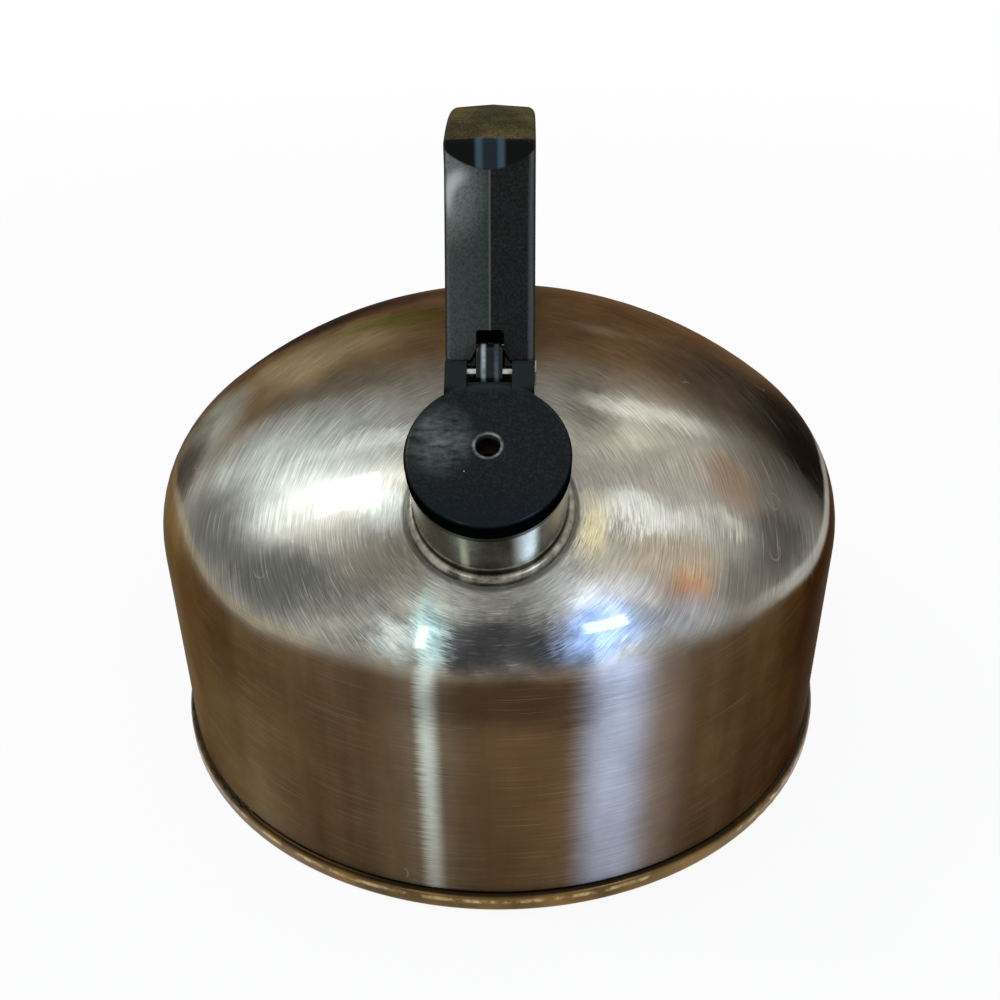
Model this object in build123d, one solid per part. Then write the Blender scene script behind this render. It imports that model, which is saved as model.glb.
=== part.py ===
# Stovetop whistling kettle: spun steel body, clad base, spout with a hinged whistle cap,
# and a moulded loop handle with a squeeze trigger that lifts the cap.
# Millimetres. +Z is up, the origin is the middle of the base underside, the spout points to -Y.
from build123d import *
from math import atan2, cos, degrees, hypot, radians, sin, sqrt, tan
import os

# Body and base
wall_radius = 100.0
wall_top = 66.8
shoulder_radius = 36.6
dome_radius = 136.7
sheet = 0.8
cladding = 0.6
pan_sheet = 0.8
pan_flange = 7.0
seam_height = 5.9
seam_width = 1.8
seam_gap = 0.05

# Spout
spout_tilt = 31.9
spout_radius = 18.0
spout_wall = 1.0
spout_rise = 21.1
spout_inset = 3.0
lip_round = 0.4
collar_width = 1.9
collar_height = 2.7
joint_gap = 0.05

# Whistle cap and its hinge
cap_radius = 18.2
cap_thick = 5.3
cap_roof = 1.8
cap_round = 1.2
cap_lift = 0.2
gasket_thick = 1.2
gasket_width = 4.0
boss_radius = 11.5
boss_wall = 1.4
boss_depth = 6.5
plate_sheet = 0.5
plate_gap = 3.0
plate_hole = 1.6
whistle_back = 1.8
whistle_hole = 2.7
whistle_sink = 5.0
whistle_sink_depth = 0.4
hinge_back = 21.8
hinge_drop = 1.85
ear_outer = 9.95
ear_inner = 5.1
ear_radius = 2.6
ear_front = 14.0
web_drop = 0.8
hinge_pin_radius = 1.0
running_gap = 0.05
swing_gap = 0.4
cap_open = 58.0

# Trigger
trigger_travel = 17.0
trigger_pivot_back = 22.0
trigger_pivot_drop = 2.5
trigger_pin_radius = 1.5
hub_radius = 3.6
toe_radius = 1.4
elbow_back = 10.2
elbow_rise = 5.2
elbow_radius = 1.6
trigger_half = 5.2
knee_back = 13.0
knee_rise = 19.0
knee_radius = 4.0
pad_back = 44.0
pad_rise = 22.0
pad_radius = 3.5
pad_round = 1.2
finger_radius = 40.0
finger_depth = 0.9
tail_thick = 1.5
tail_half = 5.9
coil_radius = 2.4
coil_wire = 0.35
coil_turns = 5
coil_half = 2.2
coil_leg = 7.0
leg_angle = 115.0

# Hinge arm between the cap ears
tongue_half = 2.95
tongue_radius = 3.0
tongue_rise = 6.4
tongue_round = 0.6
arm_radius = 3.0

# Handle
handle_half = 10.25
draft = 4.0
edge_round = 2.0
chin_back = 3.3
chin_rise = -0.3
collar_room = 4.0
post_lean = 21.2
post_front = 42.0
post_depth = 20.5
post_back_lean = 4.0
nose_height = 6.8
crest_round = 1.5
top_radius = 80.0
crest_to_apex = 18.0
grip_slope = 13.5
grip_length = 50.0
grip_thick = 18.5
knuckle_radius = 24.0
rear_lean = 10.0
rear_depth = 17.5
foot_depth = 20.0
inner_round = 9.0
notch_half = 3.15
notch_rise = 6.4
notch_round = 0.8
flare_half = 4.5
flare_rise = 2.4
channel_half = 6.7
channel_skin = 1.2
pocket_skin = 3.0
slot_half = 5.6
slot_gap = 1.2

# Brackets and fasteners
strap = 1.0
plate_outer = 6.5
foot_half = 8.6
plate_margin = 4.4
seat_gap = 0.1
screw_back = 2.0
screw_rise = 6.4
rear_screw_rise = 15.0
screw_radius = 2.0
screw_play = 0.2
head_radius = 3.6
head_height = 1.6
slot_width = 1.1
nut_radius = 3.4
nut_height = 1.6
washer_radius = 3.4
washer_thick = 0.5
recess = 1.6

os.makedirs("parts", exist_ok=True)

# Spun outline: the shoulder arc is tangent to the wall, the dome arc to the shoulder
shoulder_centre = wall_radius - shoulder_radius
dome_drop = sqrt((dome_radius - shoulder_radius) ** 2 - shoulder_centre ** 2)
dome_centre = wall_top - dome_drop
shoulder_angle = degrees(atan2(dome_drop, shoulder_centre))
base_floor = cladding + pan_sheet


def dome_height(y, extra=0.0):
    """Height of the dome's outside, or of a shell `extra` above it, in the middle plane."""
    return dome_centre + sqrt((dome_radius + extra) ** 2 - y ** 2)


def dome_ball(extra=0.0):
    return Pos(0, 0, dome_centre) * Sphere(dome_radius + extra)


# Spout frame: local x is sideways, y points back along the collar, z runs out of the spout
collar_radius = spout_radius + collar_width
axis_y = -sin(radians(spout_tilt))
axis_z = cos(radians(spout_tilt))
collar_reach = sqrt(dome_radius ** 2 - collar_radius ** 2)
spout_frame = Plane(
    origin=(0, collar_reach * axis_y, dome_centre + collar_reach * axis_z),
    x_dir=(1, 0, 0),
    z_dir=(0, axis_y, axis_z),
)


def spout_point(back, out):
    """World (y, z) of a point given behind the spout axis and out along it."""
    point = spout_frame.from_local_coords(Vector(0, back, out))
    return (point.Y, point.Z)


def turn(point, centre, angle):
    """Turns a (y, z) point about a centre, positive from +Y towards +Z."""
    c, s = cos(radians(angle)), sin(radians(angle))
    y, z = point[0] - centre[0], point[1] - centre[1]
    return (centre[0] + c * y - s * z, centre[1] + s * y + c * z)


def disc(point, radius):
    """Round outline in the middle plane."""
    return Plane.YZ * Pos(point[0], point[1]) * Circle(radius)


def link(point_a, radius_a, point_b, radius_b):
    """Outline of a bar with two round ends, in the middle plane."""
    a = Pos(point_a[0], point_a[1]) * Circle(radius_a)
    b = Pos(point_b[0], point_b[1]) * Circle(radius_b)
    return Plane.YZ * make_hull(a.edges() + b.edges())


def outline(*points):
    """Straight-sided outline in the middle plane."""
    return Plane.YZ * make_face(Polyline(*points, close=True))


def slab(face, x_from, x_to):
    """Solid from an outline in the middle plane, between two distances along X."""
    return Pos(x_from, 0, 0) * extrude(face, amount=x_to - x_from, dir=(1, 0, 0))


def wide(face, half):
    return slab(face, -half, half)


def cross_bar(point, radius, x_from, x_to):
    return slab(disc(point, radius), x_from, x_to)


def spun(face):
    return revolve(Plane.XZ * face, Axis.Z)


def along(point, angle, length):
    """Point a length away, at an angle from +Y towards +Z."""
    return (point[0] + length * cos(radians(angle)), point[1] + length * sin(radians(angle)))


def crossing(point_a, angle_a, point_b, angle_b):
    """Where two lines in the middle plane cross."""
    ca, sa = cos(radians(angle_a)), sin(radians(angle_a))
    cb, sb = cos(radians(angle_b)), sin(radians(angle_b))
    dy, dz = point_b[0] - point_a[0], point_b[1] - point_a[1]
    reach = (dy * sb - dz * cb) / (ca * sb - sa * cb)
    return (point_a[0] + reach * ca, point_a[1] + reach * sa)


# Hinge points of the cap and of the trigger
cap_floor = spout_rise + cap_lift
cap_top = cap_floor + cap_thick
gasket_radius = spout_radius - spout_wall / 2
boss_bore = boss_radius - boss_wall - joint_gap
whistle_frame = spout_frame * Pos(0, whistle_back, 0)
plate_low = cap_floor + gasket_thick - boss_depth + plate_sheet
hinge = spout_point(hinge_back, cap_top - hinge_drop)
pivot = (hinge[0] + trigger_pivot_back, hinge[1] - trigger_pivot_drop)
ratio = cap_open / trigger_travel
centres = hypot(pivot[0] - hinge[0], pivot[1] - hinge[1])
line_of_centres = degrees(atan2(pivot[1] - hinge[1], pivot[0] - hinge[0]))
toe = along(hinge, line_of_centres, centres / (1.0 + ratio))
elbow = (hinge[0] + elbow_back, hinge[1] + elbow_rise)
knee = (pivot[0] + knee_back, pivot[1] + knee_rise)
pad_tip = (pivot[0] + pad_back, pivot[1] + pad_rise)
front_screw = (pivot[0] + screw_back, dome_height(pivot[0] + screw_back) + screw_rise)

# Handle corners, from the chin over the top to the rear leg
chin = spout_point(hinge_back + chin_back, cap_top - hinge_drop + chin_rise)
front_foot = spout_point(collar_radius + collar_room, -collar_radius)
front_top = along(chin, 90 - post_lean, post_front)
crest = (front_top[0], front_top[1] + nose_height)
top_rise = top_radius - sqrt(top_radius ** 2 - crest_to_apex ** 2)
top_centre = (crest[0] + crest_to_apex, crest[1] + top_rise - top_radius)
apex = along(top_centre, 90, top_radius)
grip_start = along(top_centre, 90 - grip_slope, top_radius)
grip_end = along(grip_start, -grip_slope, grip_length)
knuckle_centre = along(grip_end, -90 - grip_slope, knuckle_radius)
knuckle_middle = along(knuckle_centre, (90 - grip_slope + rear_lean) / 2, knuckle_radius)
rear_top = along(knuckle_centre, rear_lean, knuckle_radius)
rear_inner = along(rear_top, 180 + rear_lean, rear_depth)
rear_way = rear_lean - 90
rear_length = rear_top[1] - dome_height(rear_top[0]) + foot_depth
under_grip = along(grip_end, -90 - grip_slope, grip_thick)
post_back = spout_point(collar_radius + collar_room, 0)[0] + post_depth
back_line = (post_back, dome_height(post_back))
back_way = 90 - post_back_lean
inner_front = crossing(back_line, back_way, under_grip, -grip_slope)
inner_rear = crossing(rear_inner, rear_way, under_grip, -grip_slope)
rear_middle = along(rear_top, 180 + rear_lean, rear_depth / 2)
rear_foot = rear_middle[0] + (rear_middle[1] - dome_height(rear_middle[0])) * tan(radians(rear_lean))
rear_screw = along((rear_foot, dome_height(rear_foot)), 180 + rear_way, rear_screw_rise)


def bell(inset):
    """Solid under the spun outline, which is moved in by the inset."""
    wall = wall_radius - inset
    shoulder = shoulder_radius - inset
    dome = dome_radius - inset
    foot = cladding + seam_gap
    bend = along((shoulder_centre, wall_top), shoulder_angle / 2, shoulder)
    join = along((shoulder_centre, wall_top), shoulder_angle, shoulder)
    crown = along((0, dome_centre), 90, dome)
    edges = [
        Polyline(crown, (0, foot), (wall, foot), (wall, wall_top)),
        ThreePointArc((wall, wall_top), bend, join),
        ThreePointArc(join, along((0, dome_centre), (shoulder_angle + 90) / 2, dome), crown),
    ]
    return spun(make_face(edges))


def body_shell():
    """Spun wall, shoulder and dome in one sheet, open below, with the spout hole."""
    hole = spout_frame * Cylinder(spout_radius + joint_gap, 2 * collar_radius)
    return bell(0.0) - bell(sheet) - hole


def copper_bottom():
    """Clad base skin, with its edge rolled up round the wall as the bright bead."""
    inside = wall_radius + seam_gap
    outside = wall_radius + seam_width
    half = seam_width - seam_gap
    bulge = half * sin(radians(45))
    edges = Polyline((0, 0), (outside - half, 0)) + [
        ThreePointArc(
            (outside - half, 0), (outside - half + bulge, half - bulge), (outside, half)
        ),
        Line((outside, half), (outside, seam_height - half)),
        ThreePointArc(
            (outside, seam_height - half),
            (outside - half + bulge, seam_height - half + bulge),
            (inside, seam_height),
        ),
        Polyline((inside, seam_height), (inside, cladding), (0, cladding), (0, 0)),
    ]
    return spun(make_face(edges))


def base_pan():
    """Steel pan that closes the bottom, its flange standing inside the wall."""
    rim = wall_radius - sheet - seam_gap
    face = make_face(
        Polyline(
            (0, cladding),
            (rim, cladding),
            (rim, cladding + pan_flange),
            (rim - pan_sheet, cladding + pan_flange),
            (rim - pan_sheet, base_floor),
            (0, base_floor),
            close=True,
        )
    )
    pan = spun(face)
    inner_corner = pan.edges().filter_by(GeomType.CIRCLE).filter_by(
        lambda e: abs(e.center().Z - base_floor) < 1e-3 and e.radius > rim / 2
    )
    return fillet(inner_corner, pan_sheet)


def spout_tube():
    """Straight tube through the dome, with a rounded lip."""
    length = spout_rise + spout_inset
    tube = Pos(0, 0, length / 2 - spout_inset) * (
        Cylinder(spout_radius, length) - Cylinder(spout_radius - spout_wall, length)
    )
    lip = tube.edges().filter_by(GeomType.CIRCLE).group_by(Axis.Z)[-1]
    tube = fillet(lip, lip_round)
    return spout_frame * tube


def spout_collar():
    """Brazed bead round the foot of the tube, seated on the dome."""
    inside = spout_radius + joint_gap
    foot = collar_height / 3
    bulge = sin(radians(45))
    face = make_face(
        [
            Polyline((inside, collar_height), (inside, -collar_height), (collar_radius, -collar_height)),
            Line((collar_radius, -collar_height), (collar_radius, foot)),
            ThreePointArc(
                (collar_radius, foot),
                (inside + bulge * collar_width, foot + bulge * (collar_height - foot)),
                (inside, collar_height),
            ),
        ]
    )
    return spout_frame * spun(face) - dome_ball(joint_gap)


def cam_points():
    """Toe centre seen from the cap, at the start, middle and end of the stroke."""
    seen = []
    for share in (0.0, 0.5, 1.0):
        now = turn(toe, pivot, share * trigger_travel)
        seen.append(turn(now, hinge, share * cap_open))
    return seen


def cap_tail():
    """Hook behind the hinge that the trigger toe presses down."""
    start, middle, end = cam_points()
    path = ThreePointArc(start, middle, end)
    reach = toe_radius + swing_gap / 2
    inner = []
    outer = []
    for share in (0.0, 0.5, 1.0):
        at = path.position_at(share)
        way = path.tangent_at(share)
        normal = Vector(way.Y, -way.X)
        inner.append(at + normal * reach)
        outer.append(at + normal * (reach + tail_thick))
    edges = [
        ThreePointArc(*inner),
        Line(inner[2], outer[2]),
        ThreePointArc(*outer),
        Line(outer[0], inner[0]),
    ]
    hook = Plane.YZ * make_face(edges)
    root = outline(
        (inner[0].X, inner[0].Y),
        (outer[0].X, outer[0].Y),
        (hinge[0], hinge[1] - ear_radius),
        (hinge[0], hinge[1] - hinge_pin_radius - running_gap),
    )
    return hook + root


def cap():
    """Moulded whistle cap: a disc with two hinge ears, their tails and a whistle boss."""
    plate = Pos(0, 0, (cap_floor + cap_top) / 2) * Cylinder(cap_radius, cap_thick)
    plate = fillet(plate.edges().group_by(Axis.Z)[-1], cap_round)
    rear = hinge_back - tongue_radius - swing_gap
    gap = Pos(0, rear + cap_radius, cap_top) * Box(2 * ear_inner, 2 * cap_radius, 4 * cap_thick)
    web_thick = cap_thick - web_drop
    web = Box(2 * ear_inner, rear - ear_front, web_thick)
    web = Pos(0, (ear_front + rear) / 2, cap_floor + web_thick / 2) * web
    root = Line(spout_point(spout_radius + swing_gap, cap_floor), spout_point(ear_front, cap_top))
    knuckle = Pos(hinge[0], hinge[1]) * Circle(ear_radius)
    ear = Plane.YZ * make_hull(knuckle.edges() + root.edges())
    side = slab(ear, ear_inner, ear_outer) + slab(cap_tail(), tongue_half + swing_gap, tail_half)
    side = side + mirror(side, about=Plane.YZ)
    body = spout_frame * (plate - gap + web) + side
    seat = Pos(0, 0, cap_floor + gasket_thick / 2) * Cylinder(gasket_radius + joint_gap, gasket_thick)
    boss_low = cap_floor + gasket_thick - boss_depth
    boss = Pos(0, 0, boss_low + boss_depth / 2) * Cylinder(boss_radius, boss_depth)
    bore_depth = cap_top - cap_roof - boss_low
    bore = Pos(0, 0, boss_low + bore_depth / 2) * Cylinder(boss_radius - boss_wall, bore_depth)
    sink = Pos(0, 0, cap_top - whistle_sink_depth / 2) * Cone(whistle_hole, whistle_sink, whistle_sink_depth)
    hole = Pos(0, 0, cap_top) * Cylinder(whistle_hole, 4 * cap_thick)
    body = body - spout_frame * seat + whistle_frame * boss - whistle_frame * (bore + sink + hole)
    return body - cross_bar(hinge, hinge_pin_radius + running_gap, -2 * ear_outer, 2 * ear_outer)


def whistle_plate(height):
    """Thin sounding plate with a centre hole, pressed into the cap's boss."""
    plate = Cylinder(boss_bore, plate_sheet) - Cylinder(plate_hole, plate_sheet)
    return whistle_frame * Pos(0, 0, height) * plate


def whistle_spacer():
    """Ring that holds the two whistle plates apart."""
    ring = Cylinder(boss_bore, plate_gap) - Cylinder(boss_bore - boss_wall, plate_gap)
    return whistle_frame * Pos(0, 0, plate_low + (plate_sheet + plate_gap) / 2) * ring


def cap_gasket():
    """Flat sealing ring under the cap, over the spout's lip."""
    ring = Cylinder(gasket_radius, gasket_thick) - Cylinder(gasket_radius - gasket_width, gasket_thick)
    return spout_frame * Pos(0, 0, cap_floor + gasket_thick / 2) * ring


def hinge_arm():
    """Moulded arm from the front screw to the hinge, its tongue showing between the ears."""
    tip = along(hinge, 90 - spout_tilt, tongue_rise - tongue_radius)
    tongue = wide(link(hinge, tongue_radius, tip, tongue_radius), tongue_half)
    tongue = fillet(tongue.faces().filter_by(Axis.X).edges(), tongue_round)
    arm = wide(link(front_screw, hub_radius, hinge, arm_radius), tongue_half)
    solid = tongue + arm + wide(disc(front_screw, hub_radius), plate_outer - strap - seat_gap)
    holes = cross_bar(hinge, hinge_pin_radius, -handle_half, handle_half)
    holes = holes + cross_bar(front_screw, screw_radius + screw_play, -handle_half, handle_half)
    return solid - dome_ball(strap + 2 * seat_gap) - holes


def hinge_pin():
    """Bright pin across the ears and the tongue."""
    half = ear_outer - seat_gap
    return cross_bar(hinge, hinge_pin_radius, -half, half)


def trigger():
    """Squeeze lever: two cheeks to the toes, a stem up the post and a pad under the grip."""
    toes = link(toe, toe_radius, elbow, elbow_radius) + link(elbow, elbow_radius, pivot, hub_radius)
    stem = link(pivot, hub_radius, knee, knee_radius)
    pad = wide(link(knee, knee_radius, pad_tip, pad_radius), trigger_half)
    tilt = degrees(atan2(pad_tip[1] - knee[1], pad_tip[0] - knee[0]))
    rest = along(knee, tilt, hypot(pad_tip[0] - knee[0], pad_tip[1] - knee[1]) / 2)
    rest = along(rest, tilt - 90, pad_radius - finger_depth + finger_radius)
    pad = fillet(pad.faces().filter_by(Axis.X).edges(), pad_round)
    pad = pad - cross_bar(rest, finger_radius, -handle_half, handle_half)
    solid = wide(toes + stem, trigger_half) + pad
    web = (pivot[0] + coil_radius + 2 * coil_wire, pivot[1] + coil_leg + seat_gap)
    fork = outline(
        (toe[0] - 2 * toe_radius, toe[1] - 2 * hub_radius),
        (pivot[0] + 2 * hub_radius, toe[1] - 2 * hub_radius),
        (pivot[0] + 2 * hub_radius, pivot[1] + coil_radius + 2 * coil_wire),
        (web[0], pivot[1] + coil_radius + 2 * coil_wire),
        web,
        (elbow[0], elbow[1] + 2 * hub_radius),
        (toe[0] - 2 * toe_radius, elbow[1] + 2 * hub_radius),
    )
    solid = solid - wide(fork, tongue_half + swing_gap)
    return solid - cross_bar(pivot, trigger_pin_radius + running_gap, -handle_half, handle_half)


def trigger_pin():
    """Pin across the front bracket that the trigger turns on."""
    return cross_bar(pivot, trigger_pin_radius, -plate_outer, plate_outer)


def trigger_spring():
    """Torsion spring on the trigger pin: one leg on the hinge arm, one behind the stem."""
    first = -leg_angle
    sweep_angle = 360.0 * coil_turns + leg_angle
    steps = 4 * coil_turns + 2

    def on_coil(share):
        y, z = along(pivot, first + share * sweep_angle, coil_radius)
        return Vector((2 * share - 1) * coil_half, y, z)

    start = on_coil(0.0)
    end = on_coil(1.0)
    tail_y, tail_z = along((start.Y, start.Z), first - 90, coil_leg)
    path = [Line((start.X, tail_y, tail_z), start)]
    for step in range(steps):
        marks = [on_coil((step + part) / steps) for part in (0.0, 0.5, 1.0)]
        path.append(ThreePointArc(*marks))
    path.append(Line(end, end + Vector(0, 0, coil_leg)))
    wire = Wire(path)
    section = Plane(origin=wire.position_at(0), z_dir=wire.tangent_at(0)) * Circle(coil_wire)
    return sweep(section, path=wire)


def handle_outline():
    """Side view of the moulded loop handle, its feet running on below the dome."""
    deep = along(rear_top, rear_way, rear_length)
    deep_inner = along(rear_inner, rear_way, rear_length)
    deep_back = (post_back, front_foot[1])
    edges = [
        Polyline(front_foot, chin, front_top, crest),
        ThreePointArc(crest, apex, grip_start),
        Line(grip_start, grip_end),
        ThreePointArc(grip_end, knuckle_middle, rear_top),
        Polyline(rear_top, deep, deep_inner, inner_rear, inner_front, back_line, deep_back, front_foot),
    ]
    face = make_face(edges)
    rounds = ((inner_front, inner_round), (inner_rear, inner_round), (crest, crest_round))
    for corner, radius in rounds:
        near = face.vertices().sort_by_distance((corner[0], corner[1], 0))[0]
        face = fillet(near, radius)
    return Plane.YZ * face


def handle_cavity():
    """Channel for the hinge and bracket, slot for the trigger, notch in front, rear pocket."""
    lean = tan(radians(post_lean))
    eave = (chin[0] + channel_skin, chin[1])
    roof = max(pivot[1], elbow[1]) + hub_radius + swing_gap
    back = post_back - pocket_skin
    channel = outline(
        (front_foot[0] - collar_radius, front_foot[1]),
        (chin[0] - collar_radius, chin[1]),
        eave,
        (eave[0] + lean * (roof - eave[1]), roof),
        (back, roof),
        (back, front_foot[1]),
    )
    knee_end = turn(knee, pivot, trigger_travel)
    tip_end = turn(pad_tip, pivot, trigger_travel)

    def room(*rounds):
        edges = []
        for point, radius in rounds:
            edges += (Pos(point[0], point[1]) * Circle(radius + slot_gap)).edges()
        return Plane.YZ * make_hull(edges)

    stem_room = room((pivot, hub_radius), (knee, knee_radius), (knee_end, knee_radius))
    pad_room = room(
        (knee, knee_radius), (knee_end, knee_radius), (pad_tip, pad_radius), (tip_end, pad_radius)
    )
    notch = make_face(
        Polyline(
            (-flare_half, chin[1]),
            (flare_half, chin[1]),
            (notch_half, chin[1] + flare_rise),
            (notch_half, chin[1] + notch_rise),
            (-notch_half, chin[1] + notch_rise),
            (-notch_half, chin[1] + flare_rise),
            close=True,
        )
    )
    notch = Plane.XZ * fillet(notch.vertices().group_by(Axis.Y)[-1], notch_round)
    notch = extrude(notch, amount=collar_radius, dir=(0, 1, 0))
    notch = Pos(0, chin[0] - collar_radius / 2, 0) * notch
    inset = pocket_skin / cos(radians(rear_lean))
    pocket = outline(
        along(along(rear_inner, 0, inset), rear_way, rear_length),
        along(along(rear_top, 180, inset), rear_way, rear_length),
        crossing(rear_top, 180 + rear_lean, along(rear_top, 180, inset), rear_way),
        crossing(rear_top, 180 + rear_lean, along(rear_inner, 0, inset), rear_way),
    )
    low = dome_ball(rear_screw_rise + 2 * plate_margin)
    return (
        wide(channel, channel_half)
        + wide(stem_room + pad_room, slot_half)
        + notch
        + (wide(pocket, channel_half) & low)
    )


def handle():
    """Moulded loop handle with its draft to both sides of the middle parting line."""
    half = extrude(handle_outline(), amount=handle_half, dir=(1, 0, 0), taper=draft)
    side = half.faces().sort_by(Axis.X)[-1]
    half = fillet(side.edges(), edge_round)
    solid = half + mirror(half, about=Plane.YZ)
    solid = solid - dome_ball(strap + 2 * seat_gap) - handle_cavity()
    for screw in (front_screw, rear_screw):
        solid = solid - cross_bar(screw, screw_radius + screw_play, -2 * handle_half, 2 * handle_half)
        seat = cross_bar(screw, head_radius + screw_play, handle_half - recess, 2 * handle_half)
        solid = solid - seat - mirror(seat, about=Plane.YZ)
    return solid


def bracket(screw, top, way):
    """Folded strap: a foot welded to the dome and two plates with the cross holes."""
    sunk = along(screw, way, 2 * rear_screw_rise)
    plate = link(screw, plate_margin, top, plate_margin) + link(screw, plate_margin, sunk, plate_margin)
    plates = slab(plate, plate_outer - strap, plate_outer)
    plates = plates + mirror(plates, about=Plane.YZ)
    foot = wide(link(screw, plate_margin, sunk, plate_margin), foot_half)
    solid = plates + (foot & dome_ball(strap + seat_gap))
    solid = solid - dome_ball(seat_gap)
    return solid - cross_bar(screw, screw_radius + screw_play, -handle_half, handle_half)


def front_bracket():
    """Bracket behind the spout, which also carries the trigger pin."""
    pin_hole = cross_bar(pivot, trigger_pin_radius, -handle_half, handle_half)
    return bracket(front_screw, pivot, -90) - pin_hole


def rear_bracket():
    """Bracket in the rear leg."""
    return bracket(rear_screw, rear_screw, rear_way)


def at_both_screws(piece):
    """One group of like fasteners, at the front and at the rear of the handle."""
    return Compound(children=[Pos(0, y, z) * Rot(0, 90, 0) * piece for y, z in (front_screw, rear_screw)])


def handle_screws():
    """Cross screws, slotted heads to -X."""
    seat = handle_half - recess
    shank = Pos(0, 0, head_height / 2) * Cylinder(screw_radius, 2 * seat + 2 * recess - head_height)
    head = Pos(0, 0, -seat - head_height / 2) * Cylinder(head_radius, head_height)
    slot = Pos(0, 0, -seat - head_height) * Box(2 * head_radius, slot_width, head_height)
    return at_both_screws(head - slot + shank)


def handle_washers():
    ring = Cylinder(washer_radius, washer_thick) - Cylinder(screw_radius + screw_play, washer_thick)
    return at_both_screws(Pos(0, 0, handle_half - recess + washer_thick / 2) * ring)


def handle_nuts():
    nut = extrude(RegularPolygon(nut_radius, 6), amount=nut_height) - Cylinder(screw_radius, 4 * nut_height)
    return at_both_screws(Pos(0, 0, handle_half - recess + washer_thick) * nut)


nodes = {
    "body_shell": body_shell,
    "copper_bottom": copper_bottom,
    "base_pan": base_pan,
    "spout_tube": spout_tube,
    "spout_collar": spout_collar,
    "cap": cap,
    "whistle_lower_plate": lambda: whistle_plate(plate_low),
    "whistle_upper_plate": lambda: whistle_plate(plate_low + plate_sheet + plate_gap),
    "whistle_spacer": whistle_spacer,
    "cap_gasket": cap_gasket,
    "hinge_arm": hinge_arm,
    "hinge_pin": hinge_pin,
    "trigger": trigger,
    "trigger_pin": trigger_pin,
    "trigger_spring": trigger_spring,
    "handle": handle,
    "front_bracket": front_bracket,
    "rear_bracket": rear_bracket,
    "handle_screws": handle_screws,
    "handle_washers": handle_washers,
    "handle_nuts": handle_nuts,
}
for name, make in nodes.items():
    export_step(make(), f"parts/{name}.step")
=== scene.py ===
import math

import bmesh
import bpy
from mathutils import Matrix, Vector


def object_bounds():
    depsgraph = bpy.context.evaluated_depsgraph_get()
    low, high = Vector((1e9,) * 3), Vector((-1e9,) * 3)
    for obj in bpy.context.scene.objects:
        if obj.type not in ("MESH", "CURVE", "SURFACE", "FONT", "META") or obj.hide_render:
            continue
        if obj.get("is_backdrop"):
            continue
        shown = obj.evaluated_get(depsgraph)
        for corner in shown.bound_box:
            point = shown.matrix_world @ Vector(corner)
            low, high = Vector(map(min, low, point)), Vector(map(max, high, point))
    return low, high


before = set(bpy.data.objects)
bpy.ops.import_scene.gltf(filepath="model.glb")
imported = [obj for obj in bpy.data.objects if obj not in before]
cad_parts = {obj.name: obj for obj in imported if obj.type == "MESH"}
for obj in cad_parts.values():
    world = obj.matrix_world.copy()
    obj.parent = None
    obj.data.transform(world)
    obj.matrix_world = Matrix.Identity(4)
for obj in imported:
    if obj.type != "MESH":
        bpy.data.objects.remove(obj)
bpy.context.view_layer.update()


# Camera: the kettle seen from the spout side and about thirty degrees above,
# close enough that the base looks smaller than the shoulder.
view_azimuth = math.radians(1.55)
view_tilt = math.radians(30.42)
view_distance = 0.34023
view_height = 0.06457
view_roll = math.radians(-0.62)
view_shift = 0.0011

look_at = Vector((0.0, 0.0, view_height))
look_from = look_at + view_distance * Vector((
    math.sin(view_azimuth) * math.cos(view_tilt),
    -math.cos(view_azimuth) * math.cos(view_tilt),
    math.sin(view_tilt),
))
camera = bpy.data.objects.new("camera", bpy.data.cameras.new("camera"))
camera.data.sensor_width = 36.0
camera.data.lens = 39.5
camera.data.shift_x = view_shift
camera.data.clip_start = 0.01
camera.location = look_from
camera.rotation_euler = (
    (look_at - look_from).to_track_quat("-Z", "Y").to_matrix() @ Matrix.Rotation(view_roll, 3, "Z")
).to_euler()
bpy.context.collection.objects.link(camera)
bpy.context.scene.camera = camera
bpy.context.scene.view_settings.view_transform = "Standard"


# Floor and studio: a pale sheet under the kettle, a white room round it and soft lamps
# where the kettle's bright spots come from. The sheet keeps part of the kettle's shadow.
def linear(colour):
    """An sRGB hex colour as linear red, green, blue and full alpha."""
    parts = [int(colour[i:i + 2], 16) / 255 for i in (1, 3, 5)]
    return (*[p / 12.92 if p <= 0.04045 else ((p + 0.055) / 1.055) ** 2.4 for p in parts], 1.0)


def add(tree, kind, inputs=None, **settings):
    """Adds a node with its settings, and gives each named input a value, a socket or a node to read."""
    node = tree.nodes.new(kind)
    for name, value in settings.items():
        setattr(node, name, value)
    for socket, value in (inputs or {}).items():
        if isinstance(value, bpy.types.Node):
            value = next(output for output in value.outputs if output.enabled)
        if isinstance(value, bpy.types.NodeSocket):
            tree.links.new(value, node.inputs[socket])
        else:
            node.inputs[socket].default_value = value
    return node


def seen_by_mirror(tree):
    """One for rays that come from the camera, a reflection or a see-through piece."""
    path = add(tree, "ShaderNodeLightPath").outputs
    either = add(tree, "ShaderNodeMath", {0: path["Is Camera Ray"], 1: path["Is Glossy Ray"]}, operation="MAXIMUM")
    return add(tree, "ShaderNodeMath", {0: either, 1: path["Is Transmission Ray"]}, operation="MAXIMUM")


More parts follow.
